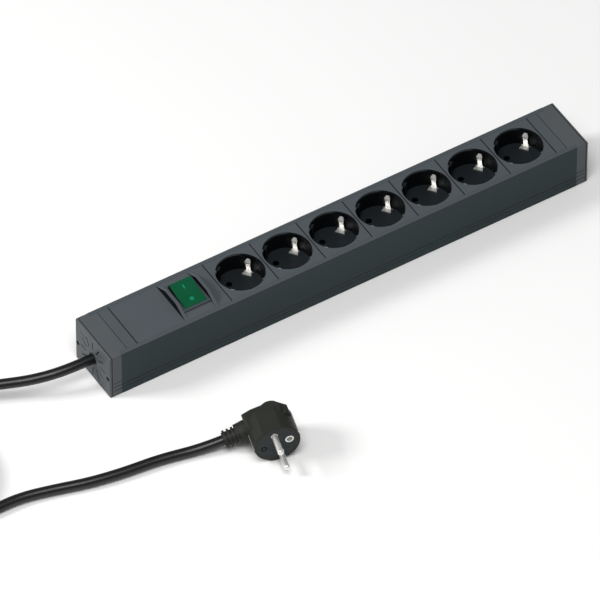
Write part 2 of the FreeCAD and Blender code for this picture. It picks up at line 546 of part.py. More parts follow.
def switch_frame():
    """The switch's bezel and body, open at the top, with slots for its tabs."""
    bezel = bar(BEZEL_LENGTH / 2, BEZEL_WIDTH / 2, (BEZEL_TOP - BEZEL_THICKNESS, BEZEL_TOP), SWITCH_X)
    bezel = round_edges(bezel, EDGE_RADIUS, lambda edge, middle:
                        along(edge, Z_AXIS) or middle.z > BEZEL_TOP - 0.01)
    body = bar(BODY_LENGTH / 2, BODY_WIDTH / 2, (BODY_BOTTOM, BEZEL_TOP - BEZEL_THICKNESS), SWITCH_X)
    opening = bar(ROCKER_OPENING_X, ROCKER_OPENING_Y, (BODY_BOTTOM + BODY_FLOOR, BEZEL_TOP), SWITCH_X)
    frame = body.fuse(bezel).cut(opening)
    reach = ROCKER_LENGTH / 2 + AXLE_DEPTH + 0.1
    frame = frame.cut(rod(V(SWITCH_X - reach, 0, PIVOT_Z), V(SWITCH_X + reach, 0, PIVOT_Z),
                          AXLE_RADIUS + AXLE_PLAY))
    for pole in (-1, 1):
        for y in (0, -CONTACT_Y):
            frame = frame.cut(bar(TAB_WIDTH / 2, TAB_THICKNESS / 2, (BODY_BOTTOM, BODY_BOTTOM + BODY_FLOOR),
                                  SWITCH_X + pole * POLE_OFFSET, y))
    return frame.removeSplitter()


def rocker_outline():
    """Side view of the rocker: a shallow V on top and ends that are arcs about the pivot."""
    corner = math.radians(ROCKER_CORNER)
    across, up = ROCKER_RADIUS * math.cos(corner), ROCKER_RADIUS * math.sin(corner)
    dip = V(0, 0, up - ROCKER_DIP)
    back, front = V(0, across, up), V(0, -across, up)
    low_back, low_front = V(0, across, -up), V(0, -across, -up)
    edges = [Part.LineSegment(front, dip), Part.LineSegment(dip, back),
             Part.Arc(back, V(0, ROCKER_RADIUS, 0), low_back), Part.LineSegment(low_back, low_front),
             Part.Arc(low_front, V(0, -ROCKER_RADIUS, 0), front)]
    return Part.Face(Part.Wire([edge.toShape() for edge in edges])), across, up


def placed_on_pivot(shape):
    """Takes a shape drawn about the pivot, unturned, to the rocker's rest position."""
    shape = turned(shape, ROCKER_TILT, V(0, 0, 0), X_AXIS)
    shape.translate(V(SWITCH_X, 0, PIVOT_Z))
    return shape


def rocker():
    """The green rocker: a shell with stub axles and two tubes for the plungers."""
    face, across, up = rocker_outline()
    half = ROCKER_LENGTH / 2
    shell = face.extrude(V(ROCKER_LENGTH, 0, 0))
    shell.translate(V(-half, 0, 0))
    ceiling = up - ROCKER_DIP - ROCKER_WALL
    shell = shell.cut(bar(half - ROCKER_WALL, across - ROCKER_WALL, (-up - 1, ceiling)))
    for pole in (-1, 1):
        top = V(pole * POLE_OFFSET, 0, ceiling + ROCKER_WALL / 2)
        shell = shell.fuse(rod(top, V(top.x, 0, -GUIDE_TUBE_END), GUIDE_TUBE_RADIUS))
        bottom = V(top.x, 0, -GUIDE_TUBE_END)
        shell = shell.cut(rod(V(top.x, 0, ceiling), bottom, PLUNGER_RADIUS))
        axle = V(pole * (half - ROCKER_WALL / 2), 0, 0)
        shell = shell.fuse(rod(axle, V(pole * (half + AXLE_DEPTH), 0, 0), AXLE_RADIUS))
    return placed_on_pivot(shell.removeSplitter()), ceiling


def plungers():
    """The two sprung pins that push the contact levers over."""
    pins = []
    for pole in (-1, 1):
        x = pole * POLE_OFFSET
        tip = V(x, 0, -PLUNGER_TIP + PLUNGER_RADIUS)
        pin = rod(V(x, 0, -PLUNGER_TOP), tip, PLUNGER_RADIUS).fuse(Part.makeSphere(PLUNGER_RADIUS, tip))
        pins.append(placed_on_pivot(pin.removeSplitter()))
    return pins


def plunger_springs(ceiling):
    """The coil springs above the plungers, each as a sleeve of the spring's outer shape."""
    springs = []
    for pole in (-1, 1):
        low, high = V(pole * POLE_OFFSET, 0, -PLUNGER_TOP), V(pole * POLE_OFFSET, 0, ceiling)
        sleeve = rod(low, high, SPRING_RADIUS).cut(rod(low, high, SPRING_RADIUS - SPRING_WIRE))
        springs.append(placed_on_pivot(sleeve))
    return springs


def switch_lamp(ceiling):
    """The small neon lamp under the rocker's lens."""
    lamp = V(-LAMP_LENGTH / 2, PLUNGER_RADIUS + 5, ceiling - LAMP_RADIUS)
    return placed_on_pivot(rod(lamp, lamp + V(LAMP_LENGTH, 0, 0), LAMP_RADIUS))


def contact_lever(pole):
    """A see-saw blade with a contact button, tipped away from its fixed contact."""
    x = SWITCH_X + pole * POLE_OFFSET
    low, high = LEVER_Z - LEVER_THICKNESS / 2, LEVER_Z + LEVER_THICKNESS / 2
    lever = bar(LEVER_WIDTH / 2, LEVER_LENGTH / 2, (low, high), x)
    button = V(x, -CONTACT_Y, low)
    lever = lever.fuse(rod(button, button - V(0, 0, CONTACT_HEIGHT), CONTACT_RADIUS))
    return turned(lever.removeSplitter(), -LEVER_TILT, V(x, 0, LEVER_Z), X_AXIS)


def switch_terminals():
    """The four tabs: a pivot tab and a fixed contact for each pole."""
    tabs = []
    play = 0.15
    drop = (CONTACT_Y + CONTACT_RADIUS) * math.sin(math.radians(LEVER_TILT))
    heights = {0: LEVER_Z - LEVER_THICKNESS / 2 - play,
               -CONTACT_Y: LEVER_Z - LEVER_THICKNESS / 2 - CONTACT_HEIGHT - drop - play}
    for pole in (-1, 1):
        for y, top in heights.items():
            x = SWITCH_X + pole * POLE_OFFSET
            tab = bar(TAB_WIDTH / 2, TAB_THICKNESS / 2, (TAB_BOTTOM, top), x, y)
            if y:
                tab = tab.fuse(bar(TAB_WIDTH / 2, CONTACT_RADIUS, (top - TAB_THICKNESS, top), x, y))
            tabs.append(tab.removeSplitter())
    return tabs


# ---- cord, clamp and wires ----

def cord_bushing():
    """The sleeve between the cord and the cap."""
    start, end = V(-HALF, 0, CORD_HEIGHT), V(-HALF + CAP_WALL, 0, CORD_HEIGHT)
    return rod(start, end, CORD / 2 + BUSHING_WALL).cut(rod(start, end, CORD / 2))


def cord_clamp():
    """The saddle that two screws pull down on the cord."""
    saddle = bar(CLAMP_LENGTH / 2, CLAMP_WIDTH / 2, (CORD_HEIGHT, CORD_HEIGHT + CLAMP_THICKNESS), CLAMP_X)
    saddle = round_edges(saddle, EDGE_RADIUS, lambda edge, middle:
                         middle.z > CORD_HEIGHT + CLAMP_THICKNESS - 0.01)
    saddle = saddle.cut(rod(V(-HALF, 0, CORD_HEIGHT), V(0, 0, CORD_HEIGHT), CORD / 2))
    for side in (-1, 1):
        foot = V(CLAMP_X, side * CLAMP_SCREW_Y, CORD_HEIGHT)
        saddle = saddle.cut(rod(foot, foot + V(0, 0, CLAMP_THICKNESS), CLAMP_SCREW_RADIUS))
    return saddle


def cord_clamp_screws():
    """The two pan-head screws of the clamp, with their cross slots."""
    screws = []
    for side in (-1, 1):
        foot = V(CLAMP_X, side * CLAMP_SCREW_Y, CORD_HEIGHT - CLAMP_THICKNESS)
        seat = foot + V(0, 0, 2 * CLAMP_THICKNESS)
        head = rod(seat, seat + V(0, 0, CLAMP_HEAD), CLAMP_HEAD_RADIUS)
        screw = rod(foot, seat, CLAMP_SCREW_RADIUS).fuse(head)
        slot_z = (seat.z + CLAMP_HEAD / 2, seat.z + CLAMP_HEAD)
        for half_x, half_y in ((CLAMP_HEAD_RADIUS * 0.6, 0.3), (0.3, CLAMP_HEAD_RADIUS * 0.6)):
            screw = screw.cut(bar(half_x, half_y, slot_z, seat.x, seat.y))
        screws.append(screw.removeSplitter())
    return screws


def cord_inner():
    """The end of the cord inside the cap, up to where its jacket is stripped."""
    return rod(V(-HALF, 0, CORD_HEIGHT), V(CORD_INNER_END, 0, CORD_HEIGHT), CORD / 2)


def wires():
    """The five insulated wires, each from face to face of what it joins."""
    left, right = SWITCH_X - POLE_OFFSET, SWITCH_X + POLE_OFFSET
    face = TAB_THICKNESS / 2
    out = -CONTACT_Y - face
    start, end = CORD_INNER_END, BAR_START
    upper, lower = CORD_HEIGHT + CORE_UP, CORD_HEIGHT - CORE_DOWN
    high_z, low_z = TAB_BOTTOM + 4.5, TAB_BOTTOM + 2
    pin_z, earth_z = BAR_BOTTOM + LUG_HEIGHT - 4, CLIP_BAR_Z - 2.2
    routes = {
        "live_wire_in": [V(start, CORE_OUT, upper), V(start + 8, CORE_OUT, upper),
                         V(start + 32, 9, high_z + 2), V(left - 8, 14, high_z), V(left, 9, high_z),
                         V(left, face, high_z)],
        "neutral_wire_in": [V(start, -CORE_OUT, upper), V(start + 8, -CORE_OUT, upper),
                            V(start + 26, -1, low_z + 0.5), V(left - 11, 14, FLOOR + 4),
                            V(right - 3, 15, low_z), V(right, 8, low_z), V(right, face, low_z)],
        "live_wire_out": [V(left, out, high_z + 0.5), V(left, -14, high_z + 0.5),
                          V(left + 12, -17.5, high_z + 2.5), V(end - 14, -4, high_z + 4),
                          V(end - 7, PIN_DY, pin_z), V(end, PIN_DY, pin_z)],
        "neutral_wire_out": [V(right, out, low_z), V(right, -14, low_z),
                             V(end - 14, -14.5, low_z - 0.5), V(end - 7, -PIN_DY, pin_z - 2),
                             V(end, -PIN_DY, pin_z - 2)],
        "earth_wire": [V(start, 0, lower), V(start + 7, 0, lower), V(start + 20, -9, FLOOR + 9),
                       V(left - 13, -19, FLOOR + 4.5), V(right + 1, -19.5, low_z - 3),
                       V(end - 14, -15, low_z + 4.5), V(end - 7, 0, earth_z), V(end, 0, earth_z)],
    }
    return {name: tube(points, WIRE, name) for name, points in routes.items()}


def coil_line(layer):
    """Radius and height of the cord's centre line on the outermost turn of a layer."""
    return COIL_INNER + CORD * (COIL_ROWS[layer] - 1), CORD * (layer + 0.5)


def cord_lead():
    """The cord from the cap to the top of the coil."""
    radius, height = coil_line(1)
    top = COIL_CENTRE.y + radius
    end_x = COIL_CENTRE.x + COIL_STUB
    points = [V(-HALF, 0, CORD_HEIGHT), V(-243, 0, CORD_HEIGHT), V(-270, 8, 18.5), V(-296, 21.5, 15.5),
              V(-323, 34, 13.2), V(end_x + 15, top, height), V(end_x, top, height)]
    return tube(points, CORD, "cord_lead")


def cord_tail():
    """The cord from the bottom of the coil to the plug's boot."""
    radius, height = coil_line(0)
    low = COIL_CENTRE.y - radius
    start_x = COIL_CENTRE.x + COIL_STUB
    end = plug_point(BOOT_END, -CABLE_SETBACK)
    before = plug_point(BOOT_END + 18, -CABLE_SETBACK)
    points = [V(start_x, low, height), V(start_x + 24, low, height), V(-308, -87, height),
              V(-281, -95.4, 4.4), V(-252, -100.6, 4.4), V(-222, -103.5, 4.4), before, end]
    return tube(points, CORD, "cord_tail")


def cord_coil():
    """The outer shape of the tied coil, with the two ends that leave it."""
    coil = None
    for layer, side in ((0, -1), (1, 1)):
        radius, height = coil_line(layer)
        base = COIL_CENTRE + V(0, 0, height - CORD / 2)
        ring = Part.makeCylinder(radius + CORD / 2, CORD, base)
        ring = ring.cut(Part.makeCylinder(COIL_INNER - CORD / 2, CORD, base))
        start = COIL_CENTRE + V(0, side * radius, height)
        ring = ring.fuse(rod(start, start + V(COIL_STUB, 0, 0), CORD / 2))
        coil = ring if coil is None else coil.fuse(ring)
    return coil.removeSplitter()


def cord_tie():
    """The flat tie round the coil's turns."""
    height = CORD * len(COIL_ROWS)
    start = COIL_CENTRE.x + COIL_INNER - CORD / 2
    end = COIL_CENTRE.x + coil_line(0)[0] + CORD / 2
    band = box((start - TIE_THICKNESS, end + TIE_THICKNESS),
               (COIL_CENTRE.y - TIE_WIDTH / 2, COIL_CENTRE.y + TIE_WIDTH / 2), (0, height + TIE_THICKNESS))
    return turned(band, TIE_ANGLE, COIL_CENTRE).cut(cord_coil())


# ---- plug, drawn with its pins along +Y and its cord along +X ----

def plug_point(along_cord, along_pins):
    """A point of the plug's own frame, as placed."""
    rolled = FreeCAD.Rotation(Y_AXIS, PLUG_ROLL).multVec(V(along_cord, along_pins, 0))
    return PLUG_FACE + FreeCAD.Rotation(Z_AXIS, PLUG_ANGLE).multVec(rolled)


def place_plug(shape):
    """Takes a shape from the plug's own frame to where the plug lies."""
    shape = turned(shape, PLUG_ROLL, V(0, 0, 0), Y_AXIS)
    shape = turned(shape, PLUG_ANGLE, V(0, 0, 0))
    shape.translate(PLUG_FACE)
    return shape


def plug_cavities():
    """What is cut from the plug's body: the core's seat, the earth strips and the boot's seat."""
    core = rod(V(0, 0, 0), V(0, -CORE_DEPTH, 0), CORE_RADIUS)
    strips = plug_earth_strips()
    boot = rod(V(NECK_END - 6, -CABLE_SETBACK, 0), V(BOOT_END, -CABLE_SETBACK, 0), BOOT_RADIUS)
    return [core, boot] + strips


def plug_body():
    """The angled housing: a drum with guide flats, a neck, a grip pad and a bevelled back."""
    drum = rod(V(0, -DRUM_LENGTH, 0), V(0, 0, 0), DRUM_RADIUS)
    slab = bar(60, 60, (-DRUM_HALF_HEIGHT, DRUM_HALF_HEIGHT))
    front_edge = [edge for edge in drum.Edges if edge.CenterOfMass.y > -0.01]
    drum = drum.makeFillet(DRUM_ROUND, front_edge).common(slab)
    outline = [V(x, y, -HOUSING_HALF_HEIGHT) for x, y in HOUSING_OUTLINE]
    housing = prism(outline, V(0, 0, 2 * HOUSING_HALF_HEIGHT))
    housing = round_edges(housing, HOUSING_ROUND, lambda edge, middle:
                          abs(middle.z) > HOUSING_HALF_HEIGHT - 0.01 and middle.y < -16)
    neck = Part.makeCone(NECK_START_RADIUS, NECK_RADIUS, NECK_END - NECK_START,
                         V(NECK_START, -CABLE_SETBACK, 0), X_AXIS)
    pad = Part.makeCylinder(PAD_RADIUS, 2 * PAD_RISE, PAD_CENTRE - V(0, 0, PAD_RISE))
    pad = round_edges(pad, PAD_ROUND, lambda edge, middle: middle.z > PAD_CENTRE.z + PAD_RISE - 0.1)
    body = drum.fuse([housing, neck, pad])
    for cavity in plug_cavities() + neck_holes():
        body = body.cut(cavity)
    return place_plug(body.removeSplitter())


def neck_radius(along_cord):
    """The neck's radius at a distance along the cord."""
    taper = (NECK_RADIUS - NECK_START_RADIUS) / (NECK_END - NECK_START)
    return NECK_START_RADIUS + taper * (along_cord - NECK_START)


def neck_holes():
    """Two short rows of small pits in the side of the neck."""
    pits, axis = [], V(0, -CABLE_SETBACK, 0)
    for x in NECK_HOLE_ALONG:
        foot = axis + V(x, neck_radius(x) - NECK_HOLE_DEPTH, 0)
        pit = rod(foot, foot + V(0, 2 * NECK_HOLE_DEPTH, 0), NECK_HOLE_RADIUS)
        pits += [turned(pit, -angle, axis, X_AXIS) for angle in NECK_HOLE_ANGLES]
    return pits


def plug_core():
    """The insert that holds the pins, with its earth socket and a round blind groove."""
    core = rod(V(0, 0, 0), V(0, -CORE_DEPTH, 0), CORE_RADIUS)
    for side in (-1, 1):
        pin = V(0, 0, side * PIN_PITCH / 2)
        core = core.cut(rod(pin - V(0, PIN_ROOT, 0), pin, PIN_ROOT_RADIUS))
    sleeve = V(SLEEVE_OFFSET, 0, 0)
    core = core.cut(rod(sleeve - V(0, SLEEVE_DEPTH, 0), sleeve, SLEEVE_OUTER))
    pocket = V(POCKET_OFFSET, 0, 0)
    groove = rod(pocket - V(0, POCKET_DEPTH, 0), pocket, POCKET_OUTER)
    groove = groove.cut(rod(pocket - V(0, POCKET_DEPTH, 0), pocket, POCKET_INNER))
    return place_plug(core.cut(groove))


def plug_pins():
    """The two round pins with domed tips, each on a thicker root inside the insert."""
    pins = []
    for side in (-1, 1):
        face = V(0, 0, side * PIN_PITCH / 2)
        pin = rod(face, face + V(0, PIN_LENGTH, 0), PIN_RADIUS)
        tip = [edge for edge in pin.Edges if edge.CenterOfMass.y > PIN_LENGTH - 0.01]
        pin = pin.makeFillet(PIN_RADIUS * 0.8, tip)
        root = rod(face - V(0, PIN_ROOT, 0), face, PIN_ROOT_RADIUS)
        pins.append(place_plug(pin.fuse(root).removeSplitter()))
    return pins


def plug_earth_strips():
    """The two earth strips let into the sides of the drum, in the plug's own frame."""
    strips = []
    for side in (-1, 1):
        limits = sorted((side * (CORE_RADIUS + EARTH_PLATE_INNER), side * (DRUM_RADIUS - EARTH_PLATE_OUTER)))
        strips.append(box(limits, (-DRUM_LENGTH * 0.8, -EARTH_PLATE_INNER),
                          (-EARTH_PLATE_WIDTH / 2, EARTH_PLATE_WIDTH / 2)))
    return strips


def plug_earth_sleeve():
    """The socket for an earth pin."""
    mouth, root = V(SLEEVE_OFFSET, 0, 0), V(SLEEVE_OFFSET, -SLEEVE_DEPTH, 0)
    return place_plug(rod(root, mouth, SLEEVE_OUTER).cut(rod(root + V(0, 1, 0), mouth, SLEEVE_BORE)))


def plug_boot():
    """The ribbed sleeve where the cord enters the plug."""
    start, end = NECK_END - 6, BOOT_END
    boot = rod(V(start, -CABLE_SETBACK, 0), V(end, -CABLE_SETBACK, 0), BOOT_RADIUS)
    spacing = (BOOT_END - NECK_END) / BOOT_RIBS
    for number in range(BOOT_RIBS):
        rib = V(NECK_END + (number + 0.25) * spacing, -CABLE_SETBACK, 0)
        boot = boot.fuse(rod(rib, rib + V(spacing / 2, 0, 0), RIB_RADIUS))
    return place_plug(boot.removeSplitter())


def main():
    """Builds every sub-part and writes it out."""
    os.makedirs("parts", exist_ok=True)
    save("channel", channel())
    save("cable_end_cap", cable_end_cap())
    save("far_end_cap", far_end_cap())
    save("filler_left", face_plate(-ROW_END, SWITCH_MODULE_START).removeSplitter())
    save("filler_right", face_plate(SOCKET_END, ROW_END).removeSplitter())
    for number, x in enumerate(SOCKET_X, start=1):
        save("socket_plate_%d" % number, socket_plate(x))
        save("socket_cup_%d" % number, socket_cup(x))
        save("earth_clip_%d" % number, earth_clip(x))
    save("live_busbar", pin_busbar(1))
    save("neutral_busbar", pin_busbar(-1))
    save("earth_busbar", earth_busbar())
    save("contact_carrier", contact_carrier())
    save("switch_plate", switch_plate())
    save("switch_guard", switch_guard())
    save("switch_frame", switch_frame())
    shell, ceiling = rocker()
    save("rocker", shell)
    save("plungers", *plungers())
    save("plunger_springs", *plunger_springs(ceiling))
    save("switch_lamp", switch_lamp(ceiling))
    save("live_lever", contact_lever(-1))
    save("neutral_lever", contact_lever(1))
    save("switch_terminals", *switch_terminals())
    save("cord_bushing", cord_bushing())
    save("cord_clamp", cord_clamp())
    save("cord_clamp_screws", *cord_clamp_screws())
    save("cord_inner", cord_inner())
    for name, wire in wires().items():
        save(name, wire)
    save("cord_lead", cord_lead())
    save("cord_coil", cord_coil())
    save("cord_tail", cord_tail())
    save("cord_tie", cord_tie())
    save("plug_body", plug_body())
    save("plug_core", plug_core())
    save("plug_pins", *plug_pins())
    save("plug_earth_strips", *[place_plug(strip) for strip in plug_earth_strips()])
    save("plug_earth_sleeve", plug_earth_sleeve())
    save("plug_boot", plug_boot())


main()
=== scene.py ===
"""Looks of the rack power strip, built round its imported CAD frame. Metres, +Z up."""
import json
import math

import bpy
import numpy as np
from mathutils import Matrix, Vector


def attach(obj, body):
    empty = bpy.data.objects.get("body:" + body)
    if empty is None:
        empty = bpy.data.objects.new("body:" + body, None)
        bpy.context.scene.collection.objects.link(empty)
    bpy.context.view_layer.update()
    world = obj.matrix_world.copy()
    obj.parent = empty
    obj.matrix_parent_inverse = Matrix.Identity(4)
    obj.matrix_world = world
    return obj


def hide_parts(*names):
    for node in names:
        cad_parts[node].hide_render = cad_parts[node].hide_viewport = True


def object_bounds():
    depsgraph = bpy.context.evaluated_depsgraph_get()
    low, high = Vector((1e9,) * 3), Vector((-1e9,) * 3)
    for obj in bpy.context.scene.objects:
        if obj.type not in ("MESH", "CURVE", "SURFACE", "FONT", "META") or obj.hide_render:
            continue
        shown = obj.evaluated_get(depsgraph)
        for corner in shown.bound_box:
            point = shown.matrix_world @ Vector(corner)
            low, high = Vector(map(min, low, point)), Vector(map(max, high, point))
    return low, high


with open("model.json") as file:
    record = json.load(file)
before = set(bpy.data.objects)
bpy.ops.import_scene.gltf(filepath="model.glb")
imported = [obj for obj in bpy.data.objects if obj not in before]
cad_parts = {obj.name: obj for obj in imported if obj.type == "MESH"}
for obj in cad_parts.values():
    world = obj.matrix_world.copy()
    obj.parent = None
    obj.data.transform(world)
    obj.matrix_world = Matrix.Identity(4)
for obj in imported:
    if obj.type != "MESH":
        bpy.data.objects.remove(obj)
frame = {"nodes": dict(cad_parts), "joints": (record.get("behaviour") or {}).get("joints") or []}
cad_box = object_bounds()
nodes = frame["nodes"]
MM = 0.001
SOCKETS = range(1, 8)


# ---- Camera: a long lens, so that parallel edges stay parallel ----
VIEW_AZIMUTH, VIEW_ELEVATION = math.radians(-31.9), math.radians(47.1)
VIEW_CENTRE = Vector((-0.0404, -0.0149, 0.0))
VIEW_WIDTH, LENS, SENSOR = 0.4686, 600.0, 36.0

towards_camera = Vector((math.sin(VIEW_AZIMUTH) * math.cos(VIEW_ELEVATION),
                         -math.cos(VIEW_AZIMUTH) * math.cos(VIEW_ELEVATION), math.sin(VIEW_ELEVATION)))
camera_data = bpy.data.cameras.new("camera")
camera_data.lens, camera_data.sensor_width = LENS, SENSOR
camera_data.clip_start, camera_data.clip_end = 0.1, 100.0
camera = bpy.data.objects.new("camera", camera_data)
camera.location = VIEW_CENTRE + towards_camera * (VIEW_WIDTH * LENS / SENSOR)
camera.rotation_mode = "QUATERNION"
camera.rotation_quaternion = (-towards_camera).to_track_quat("-Z", "Y")
bpy.context.collection.objects.link(camera)
bpy.context.scene.camera = camera


# ---- Mains cord: three-core PVC flex, glossy black, 8.6 mm thick and about 2 m long ----
# It droops from the cap to the surface, is wound into a tied coil and comes back to the plug.
CORD = 8.6 * MM
COIL_CENTRE = Vector((-0.398, -0.016, 0.0))
COIL_INNER = 38.7 * MM
COIL_TURNS = 5.5
POINTS_PER_TURN = 16
# Turn at which the cord starts to step by one diameter: outwards, or down to the lower layer.
STEPS_IN, STEP_DOWN, STEPS_OUT, STEP_SPAN = (0.75, 1.75), 2.5, (3.25, 4.25, 4.75), 0.25
CORD_COLOUR = "0b0c0e"


def linear(colour):
    """The linear values of an sRGB hex colour."""
    parts = [int(colour[i:i + 2], 16) / 255 for i in (0, 2, 4)]
    return [c / 12.92 if c <= 0.04045 else ((c + 0.055) / 1.055) ** 2.4 for c in parts] + [1.0]


def add(tree, kind, values=None, links=None):
    """Adds a node: values go to its properties or inputs, and links join outputs to its inputs."""
    node = tree.nodes.new(kind)
    for name, value in (values or {}).items():
        if isinstance(name, str) and hasattr(node, name):
            setattr(node, name, value)
        else:
            node.inputs[name].default_value = value
    for name, source in (links or {}).items():
        tree.links.new(source, node.inputs[name])
    return node


def material(name, colour, roughness, **inputs):
    """A material with one Principled shader; returns it with its node tree, shader and object coordinates."""
    made = bpy.data.materials.new(name)
    made.use_nodes = True
    tree = made.node_tree
    shader = tree.nodes["Principled BSDF"]
    values = {"Base Color": linear(colour), "Roughness": roughness, "Specular IOR Level": 0.2, **inputs}
    for key, value in values.items():
        shader.inputs[key].default_value = value
    place = add(tree, "ShaderNodeTexCoord").outputs["Object"]
    return made, tree, shader, place


def grain(tree, shader, place, size, height, roughness=None, detail=3.0):
    """A moulded grain: noise of the grain's size in metres as bump, and in roughness between two values."""
    noise = add(tree, "ShaderNodeTexNoise", {"Scale": 1 / size, "Detail": detail}, {"Vector": place})
    bump = add(tree, "ShaderNodeBump", {"Strength": 0.6, "Distance": height}, {"Height": noise.outputs["Fac"]})
    tree.links.new(bump.outputs["Normal"], shader.inputs["Normal"])
    if roughness:
        spread = add(tree, "ShaderNodeMapRange", {"To Min": roughness[0], "To Max": roughness[1]},
                     {"Value": noise.outputs["Fac"]})
        tree.links.new(spread.outputs["Result"], shader.inputs["Roughness"])
    return noise


def mottle(tree, shader, place, size, dark, light):
    """Slow colour variation between two hex colours over patches of a size in metres."""
    noise = add(tree, "ShaderNodeTexNoise", {"Scale": 1 / size, "Detail": 4.0}, {"Vector": place})
    ramp = add(tree, "ShaderNodeMix", {"data_type": "RGBA", 6: linear(dark), 7: linear(light)},
               {0: noise.outputs["Fac"]})
    tree.links.new(ramp.outputs[2], shader.inputs["Base Color"])
    return noise


def facing(tree, axis, low, high):
    """A mask from 0 to 1 as the surface comes to face along an axis, either way."""
    normal = add(tree, "ShaderNodeNewGeometry").outputs["Normal"]
    parts = add(tree, "ShaderNodeSeparateXYZ", None, {"Vector": normal})
    size = add(tree, "ShaderNodeMath", {"operation": "ABSOLUTE"}, {0: parts.outputs[axis]})
    return add(tree, "ShaderNodeMapRange", {"From Min": low, "From Max": high},
               {"Value": size.outputs[0]}).outputs["Result"]


def tint(tree, shader, mask, colour):
    """Lays a hex colour over the shader's base colour, as far as the mask says."""
    under = shader.inputs["Base Color"].links[0].from_socket
    mix = add(tree, "ShaderNodeMix", {"data_type": "RGBA", 7: linear(colour)}, {0: mask, 6: under})
    tree.links.new(mix.outputs[2], shader.inputs["Base Color"])


def step(turn, starts):
    """How many of the steps are done at a turn, each one smooth over its span."""
    done = np.clip((turn[:, None] - np.array(starts)) / STEP_SPAN, 0, 1)
    return (done * done * (3 - 2 * done)).sum(axis=1)


def coil_points():
    """The coil's control points: an angle that grows with the turn, and steps in radius and height."""
    turn = np.linspace(0, COIL_TURNS, int(COIL_TURNS * POINTS_PER_TURN) + 1)
    angle = math.pi / 2 + 2 * math.pi * turn
    radius = COIL_INNER + CORD * (2 - step(turn, STEPS_IN) + step(turn, STEPS_OUT))
    radius = radius / math.cos(math.pi / POINTS_PER_TURN) ** 0.5
    height = CORD * (1.5 - step(turn, (STEP_DOWN,)))
    x = COIL_CENTRE.x + radius * np.cos(angle)
    y = COIL_CENTRE.y + radius * np.sin(angle)
    return np.stack([x, y, height], axis=1).tolist()


LEAD_ROUTE = [(-0.220, 0, 0.022), (-0.243, 0, 0.022), (-0.270, 0.008, 0.0185), (-0.296, 0.0215, 0.0155),
              (-0.323, 0.034, 0.0132), (-0.343, 0.0399, 0.0129), (-0.358, 0.0399, 0.0129)]
TAIL_ROUTE = [(-0.358, -0.0805, 0.0043), (-0.334, -0.0805, 0.0043), (-0.308, -0.087, 0.0043),
              (-0.281, -0.0954, 0.0044), (-0.252, -0.1006, 0.0044), (-0.222, -0.1035, 0.0044),
              (-0.18948, -0.11125, 0.00443), (-0.17272, -0.11588, 0.00909)]


def cord_curve(name, points, diameter):
    """A smooth open spline through control points, with a round section."""
    data = bpy.data.curves.new(name, "CURVE")
    data.dimensions = "3D"
    data.bevel_depth, data.bevel_resolution = diameter / 2, 6
    data.resolution_u = 8
    data.use_fill_caps = True
    spline = data.splines.new("NURBS")
    spline.points.add(len(points) - 1)
    spline.points.foreach_set("co", [value for point in points for value in (*point, 1.0)])
    spline.order_u = 3
    spline.use_endpoint_u = True
    made = bpy.data.objects.new(name, data)
    bpy.context.collection.objects.link(made)
    return made


def pvc_jacket():
    """Extruded PVC: smooth and glossy, with faint long waves from the cores inside."""
    made, tree, shader, place = material("black_pvc_jacket", CORD_COLOUR, 0.3, **{"Specular IOR Level": 0.45})
    grain(tree, shader, place, 6 * MM, 0.15 * MM, (0.26, 0.36))
    return made


pvc = pvc_jacket()
flex = cord_curve("mains_cord", LEAD_ROUTE + coil_points() + TAIL_ROUTE, CORD)
flex.data.materials.append(pvc)
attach(flex, "strip")
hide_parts("cord_lead", "cord_coil", "cord_tail")


# ---- Floor and light: a plain pale floor, a broad top light and a soft light from the left ----
FLOOR_COLOUR = "f4f4f3"
FLOOR_REACH = 30.0


def sheet_mesh(name, rows):
    """A mesh from a grid of points, rows by columns, with one face for each cell."""
    rows = np.asarray(rows, dtype=float)
    height, width = rows.shape[:2]
    index = np.arange(height * width).reshape(height, width)
    faces = np.stack([index[:-1, :-1], index[:-1, 1:], index[1:, 1:], index[1:, :-1]], axis=-1).reshape(-1, 4)
    data = bpy.data.meshes.new(name)
    data.from_pydata(rows.reshape(-1, 3).tolist(), [], faces.tolist())
    made = bpy.data.objects.new(name, data)
    bpy.context.collection.objects.link(made)
    return made


floor = sheet_mesh("floor", [[(-FLOOR_REACH, -FLOOR_REACH, 0), (FLOOR_REACH, -FLOOR_REACH, 0)],
                             [(-FLOOR_REACH, FLOOR_REACH, 0), (FLOOR_REACH, FLOOR_REACH, 0)]])
floor.data.materials.append(material("pale_floor", FLOOR_COLOUR, 0.9)[0])


def area_light(name, place, target, size, power):
    """A soft square light that points at a target."""
    data = bpy.data.lights.new(name, "AREA")
    data.shape, data.size, data.energy = "SQUARE", size, power
    made = bpy.data.objects.new(name, data)
    made.location = place
    made.rotation_mode = "QUATERNION"
    made.rotation_quaternion = (Vector(target) - Vector(place)).to_track_quat("-Z", "Y")
    bpy.context.collection.objects.link(made)


area_light("key_light", (-2.1, 0.95, 1.55), (0, 0, 0), 0.7, 42)
area_light("top_light", (-0.7, -0.9, 2.6), (0, 0, 0), 1.6, 52)
world = bpy.data.worlds.new("studio")
world.use_nodes = True
world.node_tree.nodes["Background"].inputs["Color"].default_value = linear("f4f5f6")
world.node_tree.nodes["Background"].inputs["Strength"].default_value = 0.3
bpy.context.scene.world = world
bpy.context.scene.view_settings.view_transform = "Standard"


# ---- Channel: an aluminium extrusion, painted a dark grey-green, with two shadow lines a side ----

def finish_in(made, *names):
    """Gives CAD nodes a material."""
    for name in names:
        for slot in nodes[name].material_slots:
            slot.material = made


